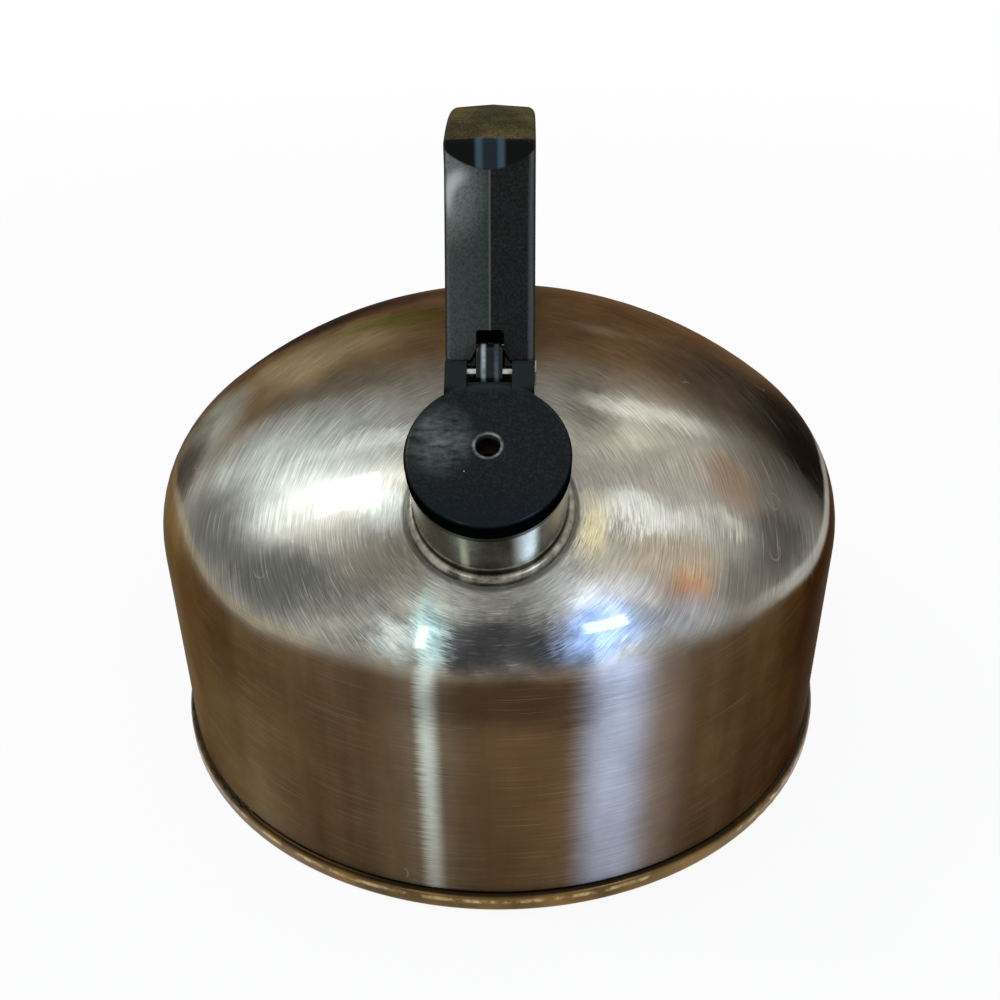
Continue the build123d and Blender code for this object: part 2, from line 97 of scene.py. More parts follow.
room_light = 0.6
floor_half = 30.0
shadow_near, shadow_far = 0.3, 1.2
glow_near, glow_far = 0.90, 1.0
world = bpy.data.worlds.new("white room")
world.use_nodes = True
bpy.context.scene.world = world
tree = world.node_tree
tree.nodes.clear()
dim = add(tree, "ShaderNodeBackground", {"Color": linear("#FFFFFF"), "Strength": room_light})
bright = add(tree, "ShaderNodeBackground", {"Color": linear("#FFFFFF"), "Strength": 1.0})
room = add(tree, "ShaderNodeMixShader", {0: seen_by_mirror(tree), 1: dim, 2: bright})
add(tree, "ShaderNodeOutputWorld", {0: room})

floor_mesh = bpy.data.meshes.new("floor")
sheet = bmesh.new()
bmesh.ops.create_grid(sheet, x_segments=1, y_segments=1, size=floor_half)
sheet.to_mesh(floor_mesh)
sheet.free()
floor = bpy.data.objects.new("floor", floor_mesh)
bpy.context.collection.objects.link(floor)
paper = bpy.data.materials.new("white paper sheet")
paper.use_nodes = True
tree = paper.node_tree
tree.nodes.clear()
matt = add(tree, "ShaderNodeBsdfDiffuse", {"Color": linear("#F4F4F4")})
glow = add(tree, "ShaderNodeEmission", {"Color": linear("#FFFFFF"), "Strength": 1.0})
out_there = add(tree, "ShaderNodeTexCoord").outputs["Object"]
out_there = add(tree, "ShaderNodeVectorMath", {0: out_there}, operation="LENGTH").outputs["Value"]
lift = add(tree, "ShaderNodeMapRange", {0: out_there, 1: shadow_near, 2: shadow_far, 3: glow_near, 4: glow_far})
lift = add(tree, "ShaderNodeMath", {0: seen_by_mirror(tree), 1: lift}, operation="MULTIPLY")
blend = add(tree, "ShaderNodeMixShader", {0: lift, 1: matt, 2: glow})
add(tree, "ShaderNodeOutputMaterial", {0: blend})
floor_mesh.materials.append(paper)
floor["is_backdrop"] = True

lamp_aim = Vector((0.0, -0.03, 0.10))
lamp_distance = 1.2
lamps = (
    # name, degrees right of the spout side, degrees up, width, height, radiance, colour
    ("strip_left", -22.0, 15.0, 0.06, 0.34, 34.0, "#D8F0F4"),
    ("window_right", 34.0, 19.0, 0.28, 0.16, 34.0, "#D2E4FF"),
    ("window_left", -98.0, 54.0, 0.17, 0.32, 20.0, "#FFFFFF"),
    ("softbox_rear", 135.0, 50.0, 0.36, 0.24, 3.0, "#FFF8EE"),
)
for name, right, up, width, height, radiance, colour in lamps:
    data = bpy.data.lights.new(name, "AREA")
    data.shape = "RECTANGLE"
    data.size = width
    data.size_y = height
    data.energy = radiance * math.pi * width * height
    data.color = linear(colour)[:3]
    lamp = bpy.data.objects.new(name, data)
    a, e = math.radians(right), math.radians(up)
    way = Vector((math.sin(a) * math.cos(e), -math.cos(a) * math.cos(e), math.sin(e)))
    lamp.location = lamp_aim + lamp_distance * way
    lamp.rotation_euler = way.to_track_quat("Z", "Y").to_euler()
    lamp.visible_camera = False
    bpy.context.collection.objects.link(lamp)


# Body: one sheet of stainless steel, spun to a wall, a round shoulder and a dome. Scouring left
# fine rings round the wall and, on top, round the spout. Its browns, strongest below and behind, are painted
# reflections.
wall_reflection_brown = "#53412F"
wall_reflection_light = "#64523D"
dome_grey = "#8C8A80"
dome_rear_reflection = "#66523E"
rim_highlight_left = "#938971"
rim_highlight_right = "#BDBAB3"
tint_low, tint_high = 0.0730, 0.0805
line_low, line_high = 0.073, 0.082
rear_start, rear_full = -0.046, -0.018
wall_top = 0.070
foot_dark_top, foot_dark_share = 0.040, 0.78
spout_foot = (0.0, -0.0715, 0.1042)
spout_lean = (math.radians(31.9), 0.0, 0.0)
collar_edge = 0.0203
swirl_back = -0.060
brush_pitch = 0.00026
brush_cells = 8.0
scratch_pitch = 0.00032
scratch_cells = 4.0
scratch_stray = 0.006
stray_near, stray_far = 0.040, 0.090
patch_wander = 0.013
patch_slide = 0.014
streak_fray = 0.045
arc_rise = 0.010
# These light and dark patches on the dome and shoulder are painted reflections.
painted_reflection_patches = (
    # colour, strength, middle and reach in metres along X, Y and Z
    # left of the spout
    ("#93846A", 0.90, (-0.052, -0.008, 0.1130), (0.040, 0.024, 0.030)),
    ("#A6ACA6", 0.95, (-0.054, -0.0515, 0.1045), (0.052, 0.025, 0.030)),
    ("#A2A39A", 0.92, (-0.081, -0.016, 0.0980), (0.019, 0.024, 0.018)),
    ("#665E53", 0.68, (-0.040, -0.029, 0.1155), (0.034, 0.009, 0.020)),
    ("#C6CDC6", 0.85, (-0.0245, -0.0715, 0.1030), (0.011, 0.009, 0.010)),
    ("#4C4C47", 0.90, (-0.0730, -0.0570, 0.0900), (0.022, 0.023, 0.014)),
    ("#D2D6CF", 0.75, (-0.028, -0.052, 0.1120), (0.020, 0.005, 0.012)),
    ("#2E1F1C", 0.92, (-0.054, 0.0235, 0.1100), (0.060, 0.017, 0.030)),
    ("#555B26", 0.60, (-0.030, 0.002, 0.1225), (0.026, 0.007, 0.012)),
    ("#4A4B47", 0.88, (-0.052, -0.076, 0.0880), (0.044, 0.019, 0.0135)),
    ("#6E6656", 0.75, (-0.024, -0.0825, 0.0965), (0.018, 0.010, 0.010)),
    # right of the spout
    ("#A59F92", 0.85, (0.036, -0.057, 0.1070), (0.034, 0.021, 0.024)),
    ("#5F574D", 0.84, (0.0255, -0.0400, 0.1170), (0.011, 0.018, 0.012)),
    ("#B6B7AC", 0.90, (0.040, -0.0395, 0.1140), (0.027, 0.006, 0.020)),
    ("#E2E3DA", 0.92, (0.037, -0.0690, 0.1003), (0.026, 0.0065, 0.016)),
    ("#C2C0B2", 0.75, (0.057, -0.0635, 0.0960), (0.020, 0.0045, 0.014)),
    ("#B5A68E", 0.80, (0.044, -0.076, 0.0940), (0.026, 0.009, 0.012)),
    ("#C2C0BE", 0.80, (0.032, -0.0850, 0.0905), (0.017, 0.009, 0.008)),
    ("#B4AE9F", 0.75, (0.0260, -0.0810, 0.0965), (0.011, 0.009, 0.009)),
    ("#665D53", 0.85, (0.064, -0.072, 0.0820), (0.024, 0.016, 0.010)),
    ("#3E3A34", 0.92, (0.073, -0.059, 0.0880), (0.019, 0.018, 0.014)),
    ("#433E39", 0.88, (0.065, -0.016, 0.1055), (0.040, 0.032, 0.026)),
    ("#575047", 0.80, (0.070, -0.044, 0.0985), (0.018, 0.020, 0.016)),
    ("#1E1C1A", 0.96, (0.090, -0.018, 0.0940), (0.032, 0.047, 0.030)),
    ("#7C6E5E", 0.55, (0.029, -0.0055, 0.1228), (0.016, 0.005, 0.012)),
    ("#BC7F4C", 0.65, (0.047, -0.081, 0.0877), (0.012, 0.009, 0.009)),
    ("#8A6A4F", 0.60, (0.060, -0.052, 0.0995), (0.013, 0.012, 0.011)),
    ("#E6DBB0", 0.88, (0.0235, -0.0735, 0.1015), (0.007, 0.012, 0.010)),
    ("#9C9CA0", 0.80, (0.044, -0.086, 0.0825), (0.022, 0.012, 0.008)),
    # front shoulder
    ("#262629", 0.97, (0.003, -0.0950, 0.0822), (0.034, 0.020, 0.0106)),
    ("#C6CAC6", 0.80, (-0.0245, -0.0925, 0.0825), (0.0075, 0.010, 0.0060)),
    ("#8299BC", 0.78, (0.024, -0.0915, 0.0830), (0.016, 0.014, 0.0095)),
    ("#A5BCBA", 0.65, (-0.0138, -0.0935, 0.0840), (0.006, 0.014, 0.0120)),
    # far left
    ("#3C3A38", 0.70, (-0.086, -0.030, 0.0920), (0.010, 0.028, 0.016)),
)
# These light and dark bands down the wall are painted reflections.
reflection_streaks = (
    # colour, strength at the top and at the foot, degrees right of the spout, half width and soft edge in degrees
    ("#6A4E34", 0.50, 0.36, 7.0, 3.0, 14.0),
    ("#86776B", 0.75, 0.65, 22.0, 1.0, 9.5),
    ("#A2A7B6", 0.97, 0.68, 17.3, 1.0, 7.6),
    ("#7C7264", 0.45, 0.30, -8.8, 0.5, 6.0),
    ("#C4C8BE", 1.00, 0.36, -8.6, 0.1, 2.2),
    ("#8A7558", 0.75, 0.75, -70.0, 5.0, 24.0),
    ("#8A7860", 0.10, 0.80, -44.0, 4.0, 18.0),
    ("#453525", 0.60, 0.60, 64.0, 6.0, 18.0),
)


def finish(name):
    """A new material, its tree and its one shader, joined to the output."""
    made = bpy.data.materials.new(name)
    made.use_nodes = True
    made.node_tree.nodes.clear()
    shader = add(made.node_tree, "ShaderNodeBsdfPrincipled")
    add(made.node_tree, "ShaderNodeOutputMaterial", {0: shader})
    return made, made.node_tree, shader


def paint(node_name, material):
    """Gives a carried-over piece its finished material."""
    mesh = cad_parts[node_name].data
    mesh.materials.clear()
    mesh.materials.append(material)


def band(tree, value, middle, inner, outer):
    """One within the inner distance of a middle value, nothing past the outer one."""
    away = add(tree, "ShaderNodeMath", {0: value, 1: middle}, operation="SUBTRACT")
    away = add(tree, "ShaderNodeMath", {0: away}, operation="ABSOLUTE")
    return add(tree, "ShaderNodeMapRange", {0: away, 1: inner, 2: outer, 3: 1.0, 4: 0.0},
               interpolation_type="SMOOTHSTEP")


def spot(tree, place, middle, reach):
    """One at the middle of a soft round mark, nothing at its reach."""
    away = add(tree, "ShaderNodeMapping", {0: place, "Location": middle, "Scale": reach}, vector_type="TEXTURE")
    away = add(tree, "ShaderNodeVectorMath", {0: away}, operation="LENGTH").outputs["Value"]
    return add(tree, "ShaderNodeMapRange", {0: away, 1: 0.25, 2: 1.0, 3: 1.0, 4: 0.0},
               interpolation_type="SMOOTHSTEP")


def over(tree, under, colour, share, strength=1.0):
    """Lays a colour over another by a share of one."""
    share = add(tree, "ShaderNodeMath", {0: share, 1: strength}, operation="MULTIPLY")
    return add(tree, "ShaderNodeMix", {0: share, 6: under, 7: colour}, data_type="RGBA")


def round_spout(tree, place):
    """Distance from the spout's axis, the turn round it from the front, and the height along it."""
    local = add(tree, "ShaderNodeMapping", {0: place, "Location": spout_foot, "Rotation": spout_lean},
                vector_type="TEXTURE")
    local = add(tree, "ShaderNodeSeparateXYZ", {0: local}).outputs
    flat = add(tree, "ShaderNodeCombineXYZ", {0: local["X"], 1: local["Y"]})
    radius = add(tree, "ShaderNodeVectorMath", {0: flat}, operation="LENGTH").outputs["Value"]
    ahead = add(tree, "ShaderNodeMath", {0: local["Y"], 1: -1.0}, operation="MULTIPLY")
    return radius, add(tree, "ShaderNodeMath", {0: local["X"], 1: ahead}, operation="ARCTAN2"), local["Z"]


def drawn_out(tree, across, turn, pitch, cells, detail):
    """Noise drawn out into lines that run with the turn, a pitch apart."""
    across = add(tree, "ShaderNodeMath", {0: across, 1: pitch}, operation="DIVIDE")
    along = add(tree, "ShaderNodeMath", {0: turn, 1: cells}, operation="MULTIPLY")
    where = add(tree, "ShaderNodeCombineXYZ", {0: across, 1: along})
    return add(tree, "ShaderNodeTexNoise", {"Vector": where, "Scale": 1.0, "Detail": detail, "Roughness": 0.65})


scoured_steel, tree, shader = finish("scoured stainless with painted reflections")
place = add(tree, "ShaderNodeTexCoord").outputs["Object"]
axes = add(tree, "ShaderNodeSeparateXYZ", {0: place}).outputs
front = add(tree, "ShaderNodeMath", {0: axes["Y"], 1: -1.0}, operation="MULTIPLY")
bearing = add(tree, "ShaderNodeMath", {0: axes["X"], 1: front}, operation="ARCTAN2")
blend_height = add(tree, "ShaderNodeMapRange", {0: axes["Z"], 1: line_low, 2: line_high},
                   interpolation_type="SMOOTHSTEP")

# The brushed lines run round the axis on the wall and round the spout on the dome, and single
# scratches stray from them. Real lines are a tenth of a millimetre apart; these are coarser, to show.
shift = add(tree, "ShaderNodeMath", {0: blend_height, 1: swirl_back}, operation="MULTIPLY")
centre = add(tree, "ShaderNodeCombineXYZ", {1: shift, 2: axes["Z"]})
arm = add(tree, "ShaderNodeVectorMath", {0: place, 1: centre}, operation="SUBTRACT")
ring = add(tree, "ShaderNodeVectorMath", {0: (0.0, 0.0, 1.0), 1: arm}, operation="CROSS_PRODUCT")
ring = add(tree, "ShaderNodeVectorMath", {0: ring}, operation="NORMALIZE")
tree.links.new(ring.outputs[0], shader.inputs["Tangent"])
spout_reach, spout_turn, _ = round_spout(tree, place)
brush = add(tree, "ShaderNodeMix", {
    0: blend_height,
    2: drawn_out(tree, axes["Z"], bearing, brush_pitch, brush_cells, 3.0),
    3: drawn_out(tree, spout_reach, spout_turn, brush_pitch, brush_cells, 3.0),
})
fray = add(tree, "ShaderNodeMath", {0: brush, 1: 0.5}, operation="SUBTRACT")
bow = add(tree, "ShaderNodeMath", {0: bearing, 1: bearing}, operation="MULTIPLY")
bow = add(tree, "ShaderNodeMath", {0: bow, 1: 1.0}, operation="MINIMUM")
bow = add(tree, "ShaderNodeMath", {0: bow, 1: -arc_rise, 2: axes["Z"]}, operation="MULTIPLY_ADD")
stray = add(tree, "ShaderNodeTexNoise", {"Vector": place, "Scale": 40.0, "Detail": 1.0})
loose = add(tree, "ShaderNodeMapRange", {0: spout_reach, 1: stray_near, 2: stray_far, 3: scratch_stray, 4: 0.0})
wide = add(tree, "ShaderNodeMath", {0: stray.outputs["Fac"], 1: loose, 2: spout_reach}, operation="MULTIPLY_ADD")
scratch = add(tree, "ShaderNodeMix", {
    0: blend_height,
    2: drawn_out(tree, bow, bearing, scratch_pitch, scratch_cells, 1.0),
    3: drawn_out(tree, wide, spout_turn, scratch_pitch, scratch_cells, 1.0),
})

# The painted reflection patches wander by a few millimetres, and their edges fray along the brushed lines.
cloud = add(tree, "ShaderNodeTexNoise", {"Vector": place, "Scale": 55.0, "Detail": 6.0, "Roughness": 0.6})
wander = add(tree, "ShaderNodeVectorMath", {0: cloud.outputs["Color"], 1: (0.5, 0.5, 0.5)}, operation="SUBTRACT")
wander = add(tree, "ShaderNodeVectorMath", {0: wander, "Scale": patch_wander}, operation="SCALE")
strayed = add(tree, "ShaderNodeVectorMath", {0: place, 1: wander}, operation="ADD")
slide = add(tree, "ShaderNodeMath", {0: fray, 1: patch_slide}, operation="MULTIPLY")
slide = add(tree, "ShaderNodeVectorMath", {0: ring, "Scale": slide}, operation="SCALE")
strayed = add(tree, "ShaderNodeVectorMath", {0: strayed, 1: slide}, operation="ADD")

# The wall's brown, with lighter and darker runs, is a painted reflection.
wall_place = add(tree, "ShaderNodeCombineXYZ", {0: bearing, 1: axes["Z"]})
wall_cloud = add(tree, "ShaderNodeTexNoise", {"Vector": wall_place, "Scale": 9.0, "Detail": 4.0, "Roughness": 0.55})
share = add(tree, "ShaderNodeMapRange", {0: wall_cloud.outputs["Fac"], 1: 0.35, 2: 0.75})
wall = over(tree, linear(wall_reflection_brown), linear(wall_reflection_light), share)
frayed = add(tree, "ShaderNodeMath", {0: fray, 1: streak_fray, 2: bearing}, operation="MULTIPLY_ADD")
for colour, top, foot, degrees, inner, outer in reflection_streaks:
    mark = band(tree, frayed, math.radians(degrees), math.radians(inner), math.radians(outer))
    fade = add(tree, "ShaderNodeMapRange", {0: axes["Z"], 1: 0.0, 2: wall_top, 3: foot, 4: top})
    wall = over(tree, wall, linear(colour), add(tree, "ShaderNodeMath", {0: mark, 1: fade}, operation="MULTIPLY"))

# Painted shadow on the wall under the front of the shoulder.
shoulder_shadow = spot(tree, strayed, (0.002, -0.099, 0.0690), (0.036, 0.030, 0.0130))
wall = over(tree, wall, linear("#33261F"), shoulder_shadow, 0.65)
# The wall darkens towards the foot.
foot_dark = add(tree, "ShaderNodeMapRange", {0: axes["Z"], 1: 0.0, 2: foot_dark_top, 3: foot_dark_share, 4: 1.0})
wall = add(tree, "ShaderNodeVectorMath", {0: wall, "Scale": foot_dark}, operation="SCALE")

# The brown towards the rear of the dome is a painted reflection.
behind = add(tree, "ShaderNodeMapRange", {0: axes["Y"], 1: rear_start, 2: rear_full}, interpolation_type="SMOOTHSTEP")
dome = over(tree, linear(dome_grey), linear(dome_rear_reflection), behind)
for colour, strength, middle, extent in painted_reflection_patches:
    dome = over(tree, dome, linear(colour), spot(tree, strayed, middle, extent), strength)
# A dark ring on the dome round the collar's foot is painted shade and grime.
collar_shade_and_grime = band(tree, spout_reach, collar_edge, 0.0003, 0.0012)
dome = over(tree, dome, linear("#2F2820"), collar_shade_and_grime, 0.75)

# A pale painted highlight follows the shoulder edge on both sides, higher towards the rear.
edge_low, edge_lift, edge_middle = 0.0775, 0.0090, math.radians(9.0)
edge_half, edge_soft = 0.0006, 0.0021
side = add(tree, "ShaderNodeMath", {0: bearing, 1: edge_middle}, operation="SUBTRACT")
side = add(tree, "ShaderNodeMath", {0: side}, operation="ABSOLUTE")
lifted = add(tree, "ShaderNodeMapRange", {
    0: side, 1: math.radians(45.0), 2: math.radians(78.0), 3: 0.0, 4: edge_lift,
}, interpolation_type="SMOOTHSTEP")
edge_height = add(tree, "ShaderNodeMath", {0: axes["Z"], 1: lifted}, operation="SUBTRACT")
strayed_up = add(tree, "ShaderNodeSeparateXYZ", {0: wander}).outputs["Z"]
edge_height = add(tree, "ShaderNodeMath", {0: strayed_up, 1: 0.22, 2: edge_height}, operation="MULTIPLY_ADD")
rise = add(tree, "ShaderNodeMapRange", {0: edge_height, 1: tint_low, 2: tint_high},
           interpolation_type="SMOOTHSTEP")
steel = over(tree, wall, dome, rise)
right_half = add(tree, "ShaderNodeMapRange", {0: axes["X"], 1: -0.01, 2: 0.01})
spread = add(tree, "ShaderNodeMapRange", {0: right_half, 3: 1.0, 4: 0.72})
edge_away = add(tree, "ShaderNodeMath", {0: edge_height, 1: edge_low}, operation="SUBTRACT")
edge_away = add(tree, "ShaderNodeMath", {0: edge_away, 1: spread}, operation="MULTIPLY")
edge = band(tree, edge_away, 0.0, edge_half, edge_soft)
sideways = add(tree, "ShaderNodeMapRange", {0: side, 1: math.radians(28.0), 2: math.radians(46.0)})
edge = add(tree, "ShaderNodeMath", {0: edge, 1: sideways}, operation="MULTIPLY")
ahead = add(tree, "ShaderNodeMapRange", {0: side, 1: math.radians(70.0), 2: math.radians(100.0), 3: 1.0, 4: 0.06})
edge = add(tree, "ShaderNodeMath", {0: edge, 1: ahead}, operation="MULTIPLY")
rim = over(tree, linear(rim_highlight_left), linear(rim_highlight_right), right_half)
steel = over(tree, steel, rim, edge, 0.78)

# Clouds, brushed lines and scratches lighten and darken the steel, less so on the wall and behind.
mottle = add(tree, "ShaderNodeMapRange", {0: cloud.outputs["Fac"], 1: 0.3, 2: 0.7, 3: -0.26, 4: 0.26})
calm = add(tree, "ShaderNodeMapRange", {0: rise, 3: 0.60, 4: 1.0})
mottle = add(tree, "ShaderNodeMath", {0: mottle, 1: calm, 2: 1.0}, operation="MULTIPLY_ADD")
quiet = add(tree, "ShaderNodeMapRange", {0: rise, 3: 0.32, 4: 1.0})
lines = add(tree, "ShaderNodeMapRange", {0: brush, 1: 0.3, 2: 0.7, 3: -0.24, 4: 0.24})
lines = add(tree, "ShaderNodeMath", {0: lines, 1: quiet, 2: 1.0}, operation="MULTIPLY_ADD")
gain = add(tree, "ShaderNodeMath", {0: mottle, 1: lines}, operation="MULTIPLY")
# On the front shoulder, light and dark blotches are painted reflections.
blotch = add(tree, "ShaderNodeTexNoise", {"Vector": strayed, "Scale": 130.0, "Detail": 3.0, "Roughness": 0.6})
blotch = add(tree, "ShaderNodeMapRange", {0: blotch.outputs["Fac"], 1: 0.35, 2: 0.65, 3: -0.55, 4: 0.75})
shoulder = spot(tree, place, (0.0, -0.093, 0.0830), (0.055, 0.030, 0.0130))
blotch = add(tree, "ShaderNodeMath", {0: blotch, 1: shoulder, 2: 1.0}, operation="MULTIPLY_ADD")
gain = add(tree, "ShaderNodeMath", {0: gain, 1: blotch}, operation="MULTIPLY")
scored = add(tree, "ShaderNodeMapRange", {0: scratch, 1: 0.25, 2: 0.75, 3: -0.28, 4: 0.28})
worked = add(tree, "ShaderNodeMapRange", {0: behind, 3: 1.0, 4: 0.35})
worked = add(tree, "ShaderNodeMath", {0: worked, 1: quiet}, operation="MULTIPLY")
scored = add(tree, "ShaderNodeMath", {0: scored, 1: worked, 2: 1.0}, operation="MULTIPLY_ADD")
gain = add(tree, "ShaderNodeMath", {0: gain, 1: scored}, operation="MULTIPLY")
steel = add(tree, "ShaderNodeVectorMath", {0: steel, "Scale": gain}, operation="SCALE")

arc = add(tree, "ShaderNodeMapRange", {0: scratch, 1: 0.64, 2: 0.74})
arc = add(tree, "ShaderNodeMath", {0: arc, 1: worked}, operation="MULTIPLY")
steel = over(tree, steel, linear("#D6D4CA"), arc, 0.20)

# Small curved nicks, a few millimetres across, where a scourer caught, and pale pits.
nick_scale = 55.0
pit_scale = 44.0
nick_radius, nick_half, nick_soft = 0.0024 * nick_scale, 0.00010 * nick_scale, 0.00026 * nick_scale
pit_half, pit_soft = 0.00025 * pit_scale, 0.00050 * pit_scale
nick = add(tree, "ShaderNodeTexVoronoi", {"Vector": place, "Scale": nick_scale})
curl = band(tree, nick.outputs["Distance"], nick_radius, nick_half, nick_soft)
open_side = add(tree, "ShaderNodeTexNoise", {"Vector": place, "Scale": 260.0, "Detail": 0.0})
open_side = add(tree, "ShaderNodeMapRange", {0: open_side.outputs["Fac"], 1: 0.54, 2: 0.64})
curl = add(tree, "ShaderNodeMath", {0: curl, 1: open_side}, operation="MULTIPLY")
steel = over(tree, steel, linear("#A89C88"), curl, 0.26)
pit = add(tree, "ShaderNodeTexVoronoi", {"Vector": place, "Scale": pit_scale})
pit = add(tree, "ShaderNodeMapRange", {0: pit.outputs["Distance"], 1: pit_half, 2: pit_soft, 3: 1.0, 4: 0.0})
steel = over(tree, steel, linear("#E4DFD0"), pit, 0.50)
tree.links.new(steel.outputs[2], shader.inputs["Base Color"])

dull = add(tree, "ShaderNodeMapRange", {0: brush, 1: 0.3, 2: 0.7, 3: 0.34, 4: 0.48})
tree.links.new(dull.outputs[0], shader.inputs["Roughness"])
grooves = add(tree, "ShaderNodeBump", {"Strength": 0.30, "Distance": 0.00004, "Height": brush})
tree.links.new(grooves.outputs[0], shader.inputs["Normal"])
gloss = add(tree, "ShaderNodeMapRange", {0: axes["Y"], 1: -0.030, 2: -0.060, 3: 0.0, 4: 0.6})
gloss = add(tree, "ShaderNodeMath", {0: gloss, 1: rise}, operation="MULTIPLY")
tree.links.new(gloss.outputs[0], shader.inputs["Coat Weight"])
shader.inputs["Metallic"].default_value = 1.0
shader.inputs["Specular Tint"].default_value = linear("#94897A")
shader.inputs["Anisotropic"].default_value = 0.85
shader.inputs["Anisotropic Rotation"].default_value = 0.25
shader.inputs["Coat Roughness"].default_value = 0.08
paint("body_shell", scoured_steel)


# Base: a steel pan closes the bottom, and a copper-clad skin is rolled up round the wall over it,
# so that its edge shows as a tarnished bead, with a painted highlight along it and a dark line above it.
bead_dark = "#4C3A22"
bead_light = "#8A6C3C"
top_dark_low, top_dark_high = 0.0046, 0.0056

tarnished, tree, shader = finish("tarnished copper cladding")
place = add(tree, "ShaderNodeTexCoord").outputs["Object"]
height = add(tree, "ShaderNodeSeparateXYZ", {0: place}).outputs["Z"]
patch = add(tree, "ShaderNodeTexNoise", {"Vector": place, "Scale": 45.0, "Detail": 5.0, "Roughness": 0.6})
share = add(tree, "ShaderNodeMapRange", {0: patch.outputs["Fac"], 1: 0.35, 2: 0.7})
copper = over(tree, linear(bead_dark), linear(bead_light), share)
# A painted highlight runs along the bead, broken by flecks.
bead_highlight = band(tree, height, 0.0040, 0.0002, 0.0009)
fleck = add(tree, "ShaderNodeTexNoise", {"Vector": place, "Scale": 170.0, "Detail": 3.0, "Roughness": 0.6})
fleck = add(tree, "ShaderNodeMapRange", {0: fleck.outputs["Fac"], 1: 0.45, 2: 0.62})
bead_highlight = add(tree, "ShaderNodeMath", {0: bead_highlight, 1: fleck}, operation="MULTIPLY")
copper = over(tree, copper, linear("#D4BC8A"), bead_highlight, 0.7)
# The copper darkens above the bead, where it meets the wall.
top_dark = add(tree, "ShaderNodeMapRange", {0: height, 1: top_dark_low, 2: top_dark_high}, interpolation_type="SMOOTHSTEP")
copper = over(tree, copper, linear("#120E0A"), top_dark, 0.92)
tree.links.new(copper.outputs[2], shader.inputs["Base Color"])
smear = add(tree, "ShaderNodeMapRange", {0: patch.outputs["Fac"], 1: 0.3, 2: 0.7, 3: 0.24, 4: 0.42})
tree.links.new(smear.outputs[0], shader.inputs["Roughness"])
shader.inputs["Metallic"].default_value = 1.0
paint("copper_bottom", tarnished)

pan_steel, tree, shader = finish("scaled steel pan")
place = add(tree, "ShaderNodeTexCoord").outputs["Object"]
scale = add(tree, "ShaderNodeTexNoise", {"Vector": place, "Scale": 90.0, "Detail": 6.0, "Roughness": 0.65})
share = add(tree, "ShaderNodeMapRange", {0: scale.outputs["Fac"], 1: 0.4, 2: 0.65})
pan = over(tree, linear("#8A8680"), linear("#B9B2A2"), share)
tree.links.new(pan.outputs[2], shader.inputs["Base Color"])
chalk = add(tree, "ShaderNodeMapRange", {0: scale.outputs["Fac"], 1: 0.3, 2: 0.7, 3: 0.28, 4: 0.55})
tree.links.new(chalk.outputs[0], shader.inputs["Roughness"])
shader.inputs["Metallic"].default_value = 1.0
paint("base_pan", pan_steel)


# Spout: a straight stainless tube, set through the dome and brazed, with a rolled collar at its
# foot. Both are smoother than the body. The collar darkens in the corner against the tube, and the tube
# has painted shadow under the cap and painted reflections round it.
# Light and dark bands round the tube are painted reflections.
tube_reflections = (
    # colour, strength, degrees round the tube from the front, half width and soft edge in degrees
    ("#38372F", 0.50, -34.0, 6.0, 14.0),
    ("#2C2C29", 0.45, 4.0, 5.0, 16.0),
    ("#E6F1F4", 1.00, 28.0, 5.0, 13.0),
    ("#B8B39C", 0.80, -17.0, 1.0, 5.0),
    ("#A5A192", 0.60, -60.0, 4.0, 14.0),
    ("#5A5850", 0.60, 50.0, 3.0, 10.0),
)
# The dark line under the cap is painted shadow, the dark line at the step near the foot is painted shade, and the
# pale line above it is a painted highlight.
tube_shade_and_highlight_lines = (
    # colour, strength, height along the tube, half width and soft edge in metres
    ("#14120F", 0.90, 0.0205, 0.0008, 0.0016),
    ("#1A1712", 0.90, 0.0036, 0.0003, 0.0009),
    ("#D8D2BC", 0.70, 0.0050, 0.0002, 0.0006),
)

spout_steel, tree, shader = finish("rubbed stainless tube")
place = add(tree, "ShaderNodeTexCoord").outputs["Object"]
spout_reach, spout_turn, spout_rise = round_spout(tree, place)
patch = add(tree, "ShaderNodeTexNoise", {"Vector": place, "Scale": 160.0, "Detail": 5.0, "Roughness": 0.6})
share = add(tree, "ShaderNodeMapRange", {0: patch.outputs["Fac"], 1: 0.3, 2: 0.7})
tube = over(tree, linear("#454339"), linear("#8E8C82"), share)
for colour, strength, degrees, inner, outer in tube_reflections:
    mark = band(tree, spout_turn, math.radians(degrees), math.radians(inner), math.radians(outer))
    tube = over(tree, tube, linear(colour), mark, strength)
# Dried water left pale and dark flecks on the tube.
water = add(tree, "ShaderNodeTexNoise", {"Vector": place, "Scale": 420.0, "Detail": 4.0, "Roughness": 0.65})
pale = add(tree, "ShaderNodeMapRange", {0: water.outputs["Fac"], 1: 0.58, 2: 0.68})
dark = add(tree, "ShaderNodeMapRange", {0: water.outputs["Fac"], 1: 0.42, 2: 0.32})
tube = over(tree, tube, linear("#C6C3B6"), pale, 0.25)
tube = over(tree, tube, linear("#211E19"), dark, 0.30)
for colour, strength, level, inner, outer in tube_shade_and_highlight_lines:
    tube = over(tree, tube, linear(colour), band(tree, spout_rise, level, inner, outer), strength)
tree.links.new(tube.outputs[2], shader.inputs["Base Color"])
smear = add(tree, "ShaderNodeMapRange", {0: patch.outputs["Fac"], 1: 0.3, 2: 0.7, 3: 0.18, 4: 0.30})
tree.links.new(smear.outputs[0], shader.inputs["Roughness"])
shader.inputs["Metallic"].default_value = 1.0
paint("spout_tube", spout_steel)

